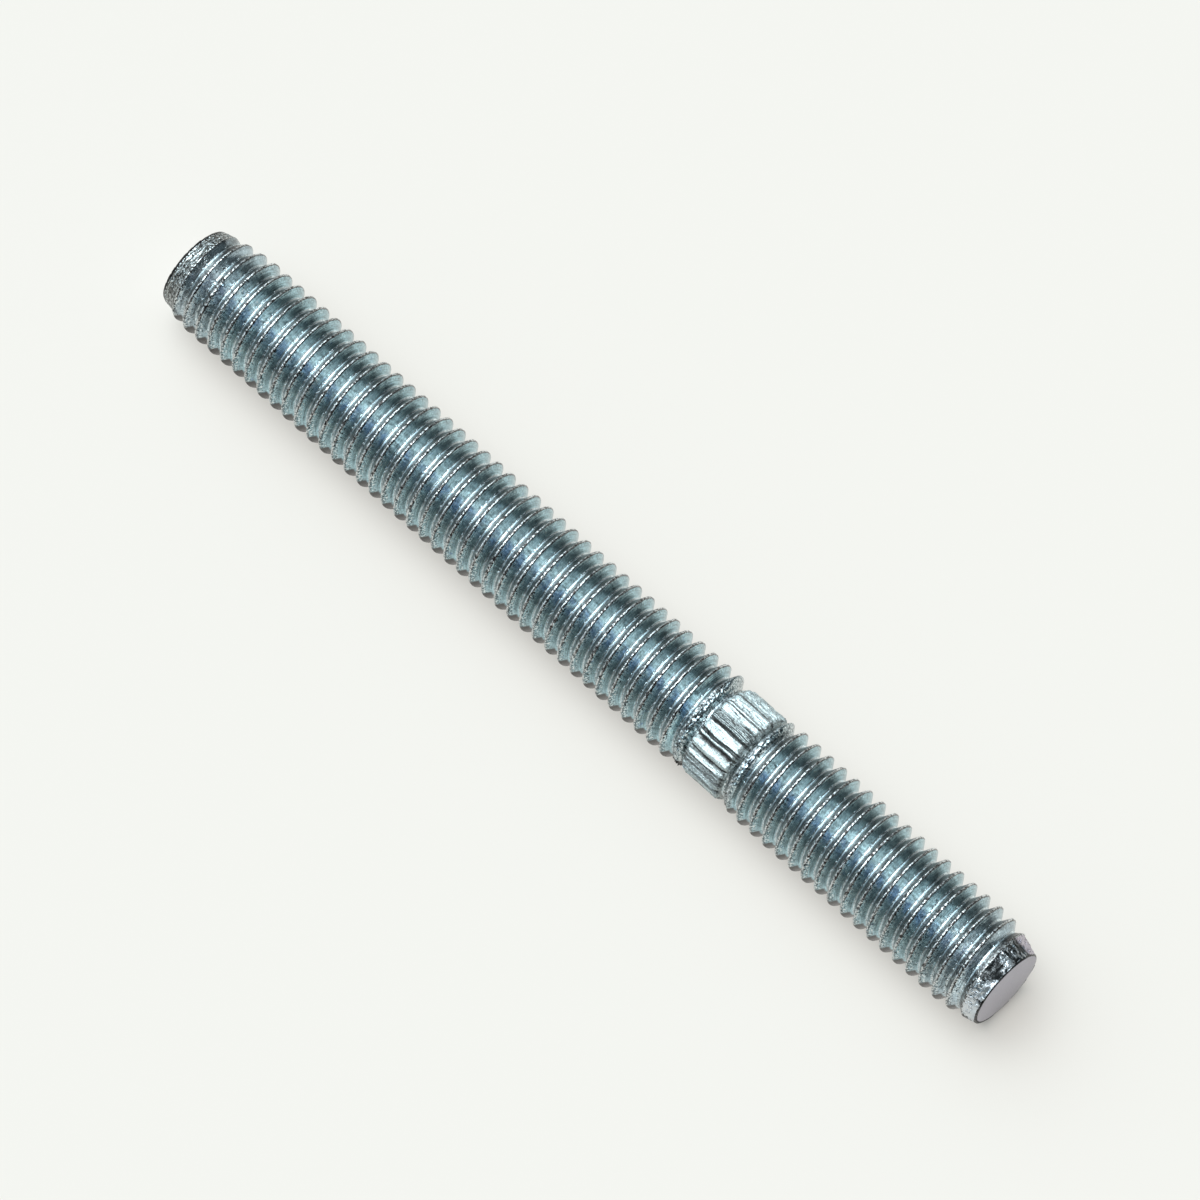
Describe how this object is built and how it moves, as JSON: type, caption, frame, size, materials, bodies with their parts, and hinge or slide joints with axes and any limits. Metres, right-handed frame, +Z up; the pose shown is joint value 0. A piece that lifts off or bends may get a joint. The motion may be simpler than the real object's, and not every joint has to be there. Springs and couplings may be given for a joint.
{
  "type": "threaded rod",
  "caption": "Double-ended threaded rod: steel stud with a right-hand thread from both tapered ends to a short fluted collar between them.",
  "frame": {"origin": "on the surface that the rod lies on, under the middle of its length", "axes": "+X along the rod's axis, from the long thread's end towards the short thread's end; +Z up"},
  "size_m": [0.08, 0.0078, 0.0079],
  "materials": {
    "zinc_plated_steel": "bright zinc plating with a pale blue passivated tint"
  },
  "bodies": {
    "root": {"threaded_rod": "zinc_plated_steel"}
  },
  "joints": []
}
